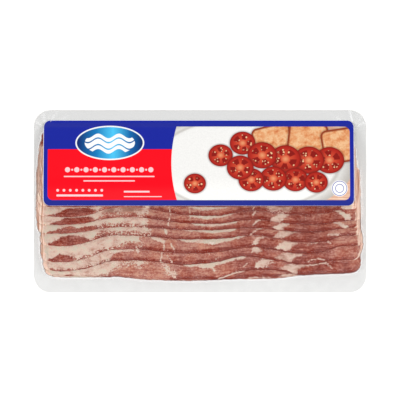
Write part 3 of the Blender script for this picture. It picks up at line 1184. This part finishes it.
def labelBack():
    # Uncoated paper: matt white, with soft fibres.
    material, tree = newMaterial("uncoatedPaperBack")
    inMm = placeInMm(tree)
    fibres = addNode(tree, "TexNoise", named={"Vector": inMm, "Scale": 1.2, "Detail": 4, "Roughness": 0.7})
    colour = addNode(tree, "ValToRGB", fibres, stops=[(0.35, "E4E2DC"), (0.65, "F4F3EE")])
    skin = addNode(tree, "BsdfPrincipled", named={"Base Color": colour, "Roughness": 0.8})
    addNode(tree, "OutputMaterial", skin)
    return material

def roundedEnds(y):  # how far the label's rounded corners draw in at its lower and upper edges
    radius = labelForm["cornerRadius"]
    nearest = np.minimum(y - labelForm["bottom"], labelForm["top"] - y)
    past = np.clip(radius - nearest, 0, radius)
    return radius - np.sqrt(radius ** 2 - past ** 2)

def tautProfile():  # the label's height across the pack, drawn taut from crest to crest
    shiftY = packForm["pileShift"][1]
    under = (reliefXs > labelForm["left"]) & (reliefXs < labelForm["right"])
    crests = np.maximum(reliefHeights, softRelief)[under].max(0)
    reach = int(labelForm["crestReach"] / reliefForm["step"])
    near = np.array([crests[max(0, i - reach):i + reach + 1].max() for i in range(len(crests))])
    taut = []
    for y in np.arange(labelForm["bottom"] - 1, labelForm["top"] + 2, labelForm["profileStep"]) + shiftY:
        point = (y, np.interp(y, reliefYs, near))
        while len(taut) > 1 and not turnsDown(taut[-2], taut[-1], point):
            taut.pop()
        taut.append(point)
    profile = np.interp(reliefYs, *np.array(taut).T)
    return blurred(profile[None, :], 0.1, labelForm["bend"])[0]

def turnsDown(first, middle, last):
    before = (middle[0] - first[0], middle[1] - first[1])
    after = (last[0] - middle[0], last[1] - middle[1])
    return before[0] * after[1] - before[1] * after[0] < 0

def makeLabel():
    form, shift = labelForm, packForm["pileShift"]
    columns, rows = form["columns"], form["rows"]
    piece = addGrid("printed_label", columns, rows)
    column, row, _ = gridPlaces(piece, columns, rows)
    upward = crowdEnds(row / (rows - 1) * 2 - 1, form["crowded"])
    y = (form["bottom"] + form["top"]) / 2 + (form["top"] - form["bottom"]) / 2 * upward
    left, right = form["left"] + roundedEnds(y), form["right"] - roundedEnds(y)
    x = left + (right - left) * column / (columns - 1)
    fromTop = smoothstep(0, form["topFall"], form["top"] - y)
    x, y = x + shift[0], y + shift[1]
    soft = blurred(reliefHeights, form["telegraphLong"], form["telegraphDeep"])
    taut = np.interp(y, reliefYs, tautProfile())
    given = (taut + form["telegraph"] * (sampleRelief(soft, x, y) - taut)) * fromTop
    lift = form["edgeLift"] + (form["lift"] - form["edgeLift"]) * fromTop
    writePoints(piece, x, y, np.maximum(filmRest + given, filmHeight(x, y)) + lift)
    smoothBy(piece, 80)
    giveThickness(piece, labelPaper(), labelBack(), form["thickness"], 1)
    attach(piece, "root")
    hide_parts("label")
    return piece

makeLabel()
print("label stuck down")

boardLook = {
    "coat": [(0.3, "D8D8D7"), (0.7, "DEDEDD")],
    "worn": "D2D2D1",  # towards the upper margin, where the coating is thinner
    "fibre": [(0.3, "CFC9BC"), (0.7, "E6E1D6")],
    "clouds": 7.0,
    "fibreSize": 0.35,
}

def boardCard():
    # Clay-coated solid bleached board: smooth white faces with a faintly cloudy coat, and pressed fibre in
    # layers at the cut edge.
    material, tree = newMaterial("coatedBoard")
    look = boardLook
    inMm = placeInMm(tree)
    clouds = addNode(tree, "TexNoise", named={
        "Vector": inMm, "Scale": 1 / look["clouds"], "Detail": 5, "Roughness": 0.6})
    coat = addNode(tree, "ValToRGB", clouds, stops=look["coat"])
    y = addNode(tree, "SeparateXYZ", inMm).outputs["Y"]
    upper = addNode(tree, "MapRange", y, -packForm["halfDeep"], packForm["halfDeep"], 0, 0.9)
    face = addNode(tree, "Mix", upper, named={6: coat, 7: linear(look["worn"])}, data_type="RGBA")
    layered = addNode(tree, "VectorMath", inMm, (0.3, 0.3, 1 / look["fibreSize"]), operation="MULTIPLY")
    fibres = addNode(tree, "TexNoise", named={"Vector": layered, "Scale": 1, "Detail": 4, "Roughness": 0.7})
    fibre = addNode(tree, "ValToRGB", fibres, stops=look["fibre"])
    normal = addNode(tree, "SeparateXYZ", addNode(tree, "NewGeometry").outputs["Normal"])
    upright = addNode(tree, "Math", normal.outputs["Z"], operation="ABSOLUTE")
    edgeShare = addNode(tree, "MapRange", upright, 0.3, 0.6, 1, 0)
    colour = addNode(tree, "Mix", edgeShare, named={6: face.outputs[2], 7: fibre}, data_type="RGBA")
    bump = addNode(tree, "Bump", named={"Strength": 0.25, "Distance": 0.03 * mm, "Height": clouds})
    rough = addNode(tree, "MapRange", edgeShare, 0, 1, 0.45, 0.85)
    skin = addNode(tree, "BsdfPrincipled", named={
        "Base Color": colour.outputs[2],
        "Roughness": rough,
        "Normal": bump,
    })
    addNode(tree, "OutputMaterial", skin)
    return material

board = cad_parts["backing_board"]
board.data.materials.clear()
board.data.materials.append(boardCard())
print("board finished")

stageForm = {
    "floorSize": 6000,
    "floorDrop": 0.1,
    "pixels": 400,
    "pixelSize": 0.8193,
    "sensor": 36,
    "cameraAt": (-0.09, 1.21, 4000),
}

def makeStage():
    deselectAll()
    size, drop = stageForm["floorSize"] * mm, stageForm["floorDrop"] * mm
    bpy.ops.mesh.primitive_plane_add(size=size, location=(0, 0, -drop))
    floor = bpy.context.object
    floor.name = "studio_floor"
    material, tree = newMaterial("paleStudioFloor")
    skin = addNode(tree, "BsdfPrincipled", named={"Base Color": linear("FEFEFE"), "Roughness": 0.9})
    addNode(tree, "OutputMaterial", skin)
    floor.data.materials.append(material)

def makeCamera():
    deselectAll()
    place = [value * mm for value in stageForm["cameraAt"]]
    bpy.ops.object.camera_add(location=place, rotation=(0, 0, 0))
    camera = bpy.context.object
    viewWidth = stageForm["pixels"] * stageForm["pixelSize"]
    camera.data.sensor_width = stageForm["sensor"]
    camera.data.lens = stageForm["sensor"] * stageForm["cameraAt"][2] / viewWidth
    bpy.context.scene.camera = camera

# Soft boxes stand well off the vertical, so that the film's flat parts stay clear and only its slopes shine.
lights = [
    {"name": "keyBox", "at": (0.1, -0.78, 1.0), "size": 0.9, "power": 8.8},
    {"name": "backBox", "at": (-0.3, 1.9, 1.1), "size": 1.1, "power": 9},
    {"name": "leftBox", "at": (-1.6, -0.2, 1.15), "size": 0.9, "power": 13},
    {"name": "rightBox", "at": (1.6, 0.2, 1.15), "size": 0.9, "power": 13},
]
roomLight = 0.42

def makeLights():
    for light in lights:
        deselectAll()
        x, y, z = light["at"]
        tilt = math.atan2(math.hypot(x, y), z)
        turn = math.atan2(y, x) + math.pi / 2
        bpy.ops.object.light_add(type="AREA", location=light["at"], rotation=(tilt, 0, turn))
        lamp = bpy.context.object
        lamp.name = light["name"]
        lamp.data.size = light["size"]
        lamp.data.energy = light["power"]
    world = bpy.data.worlds.new("paleRoom")
    world.use_nodes = True
    room = world.node_tree.nodes["Background"].inputs
    room["Color"].default_value = (1, 1, 1, 1)
    room["Strength"].default_value = roomLight
    bpy.context.scene.world = world
    bpy.context.scene.view_settings.view_transform = "Standard"

makeStage()
makeCamera()
makeLights()
print("stage, camera and lights set")
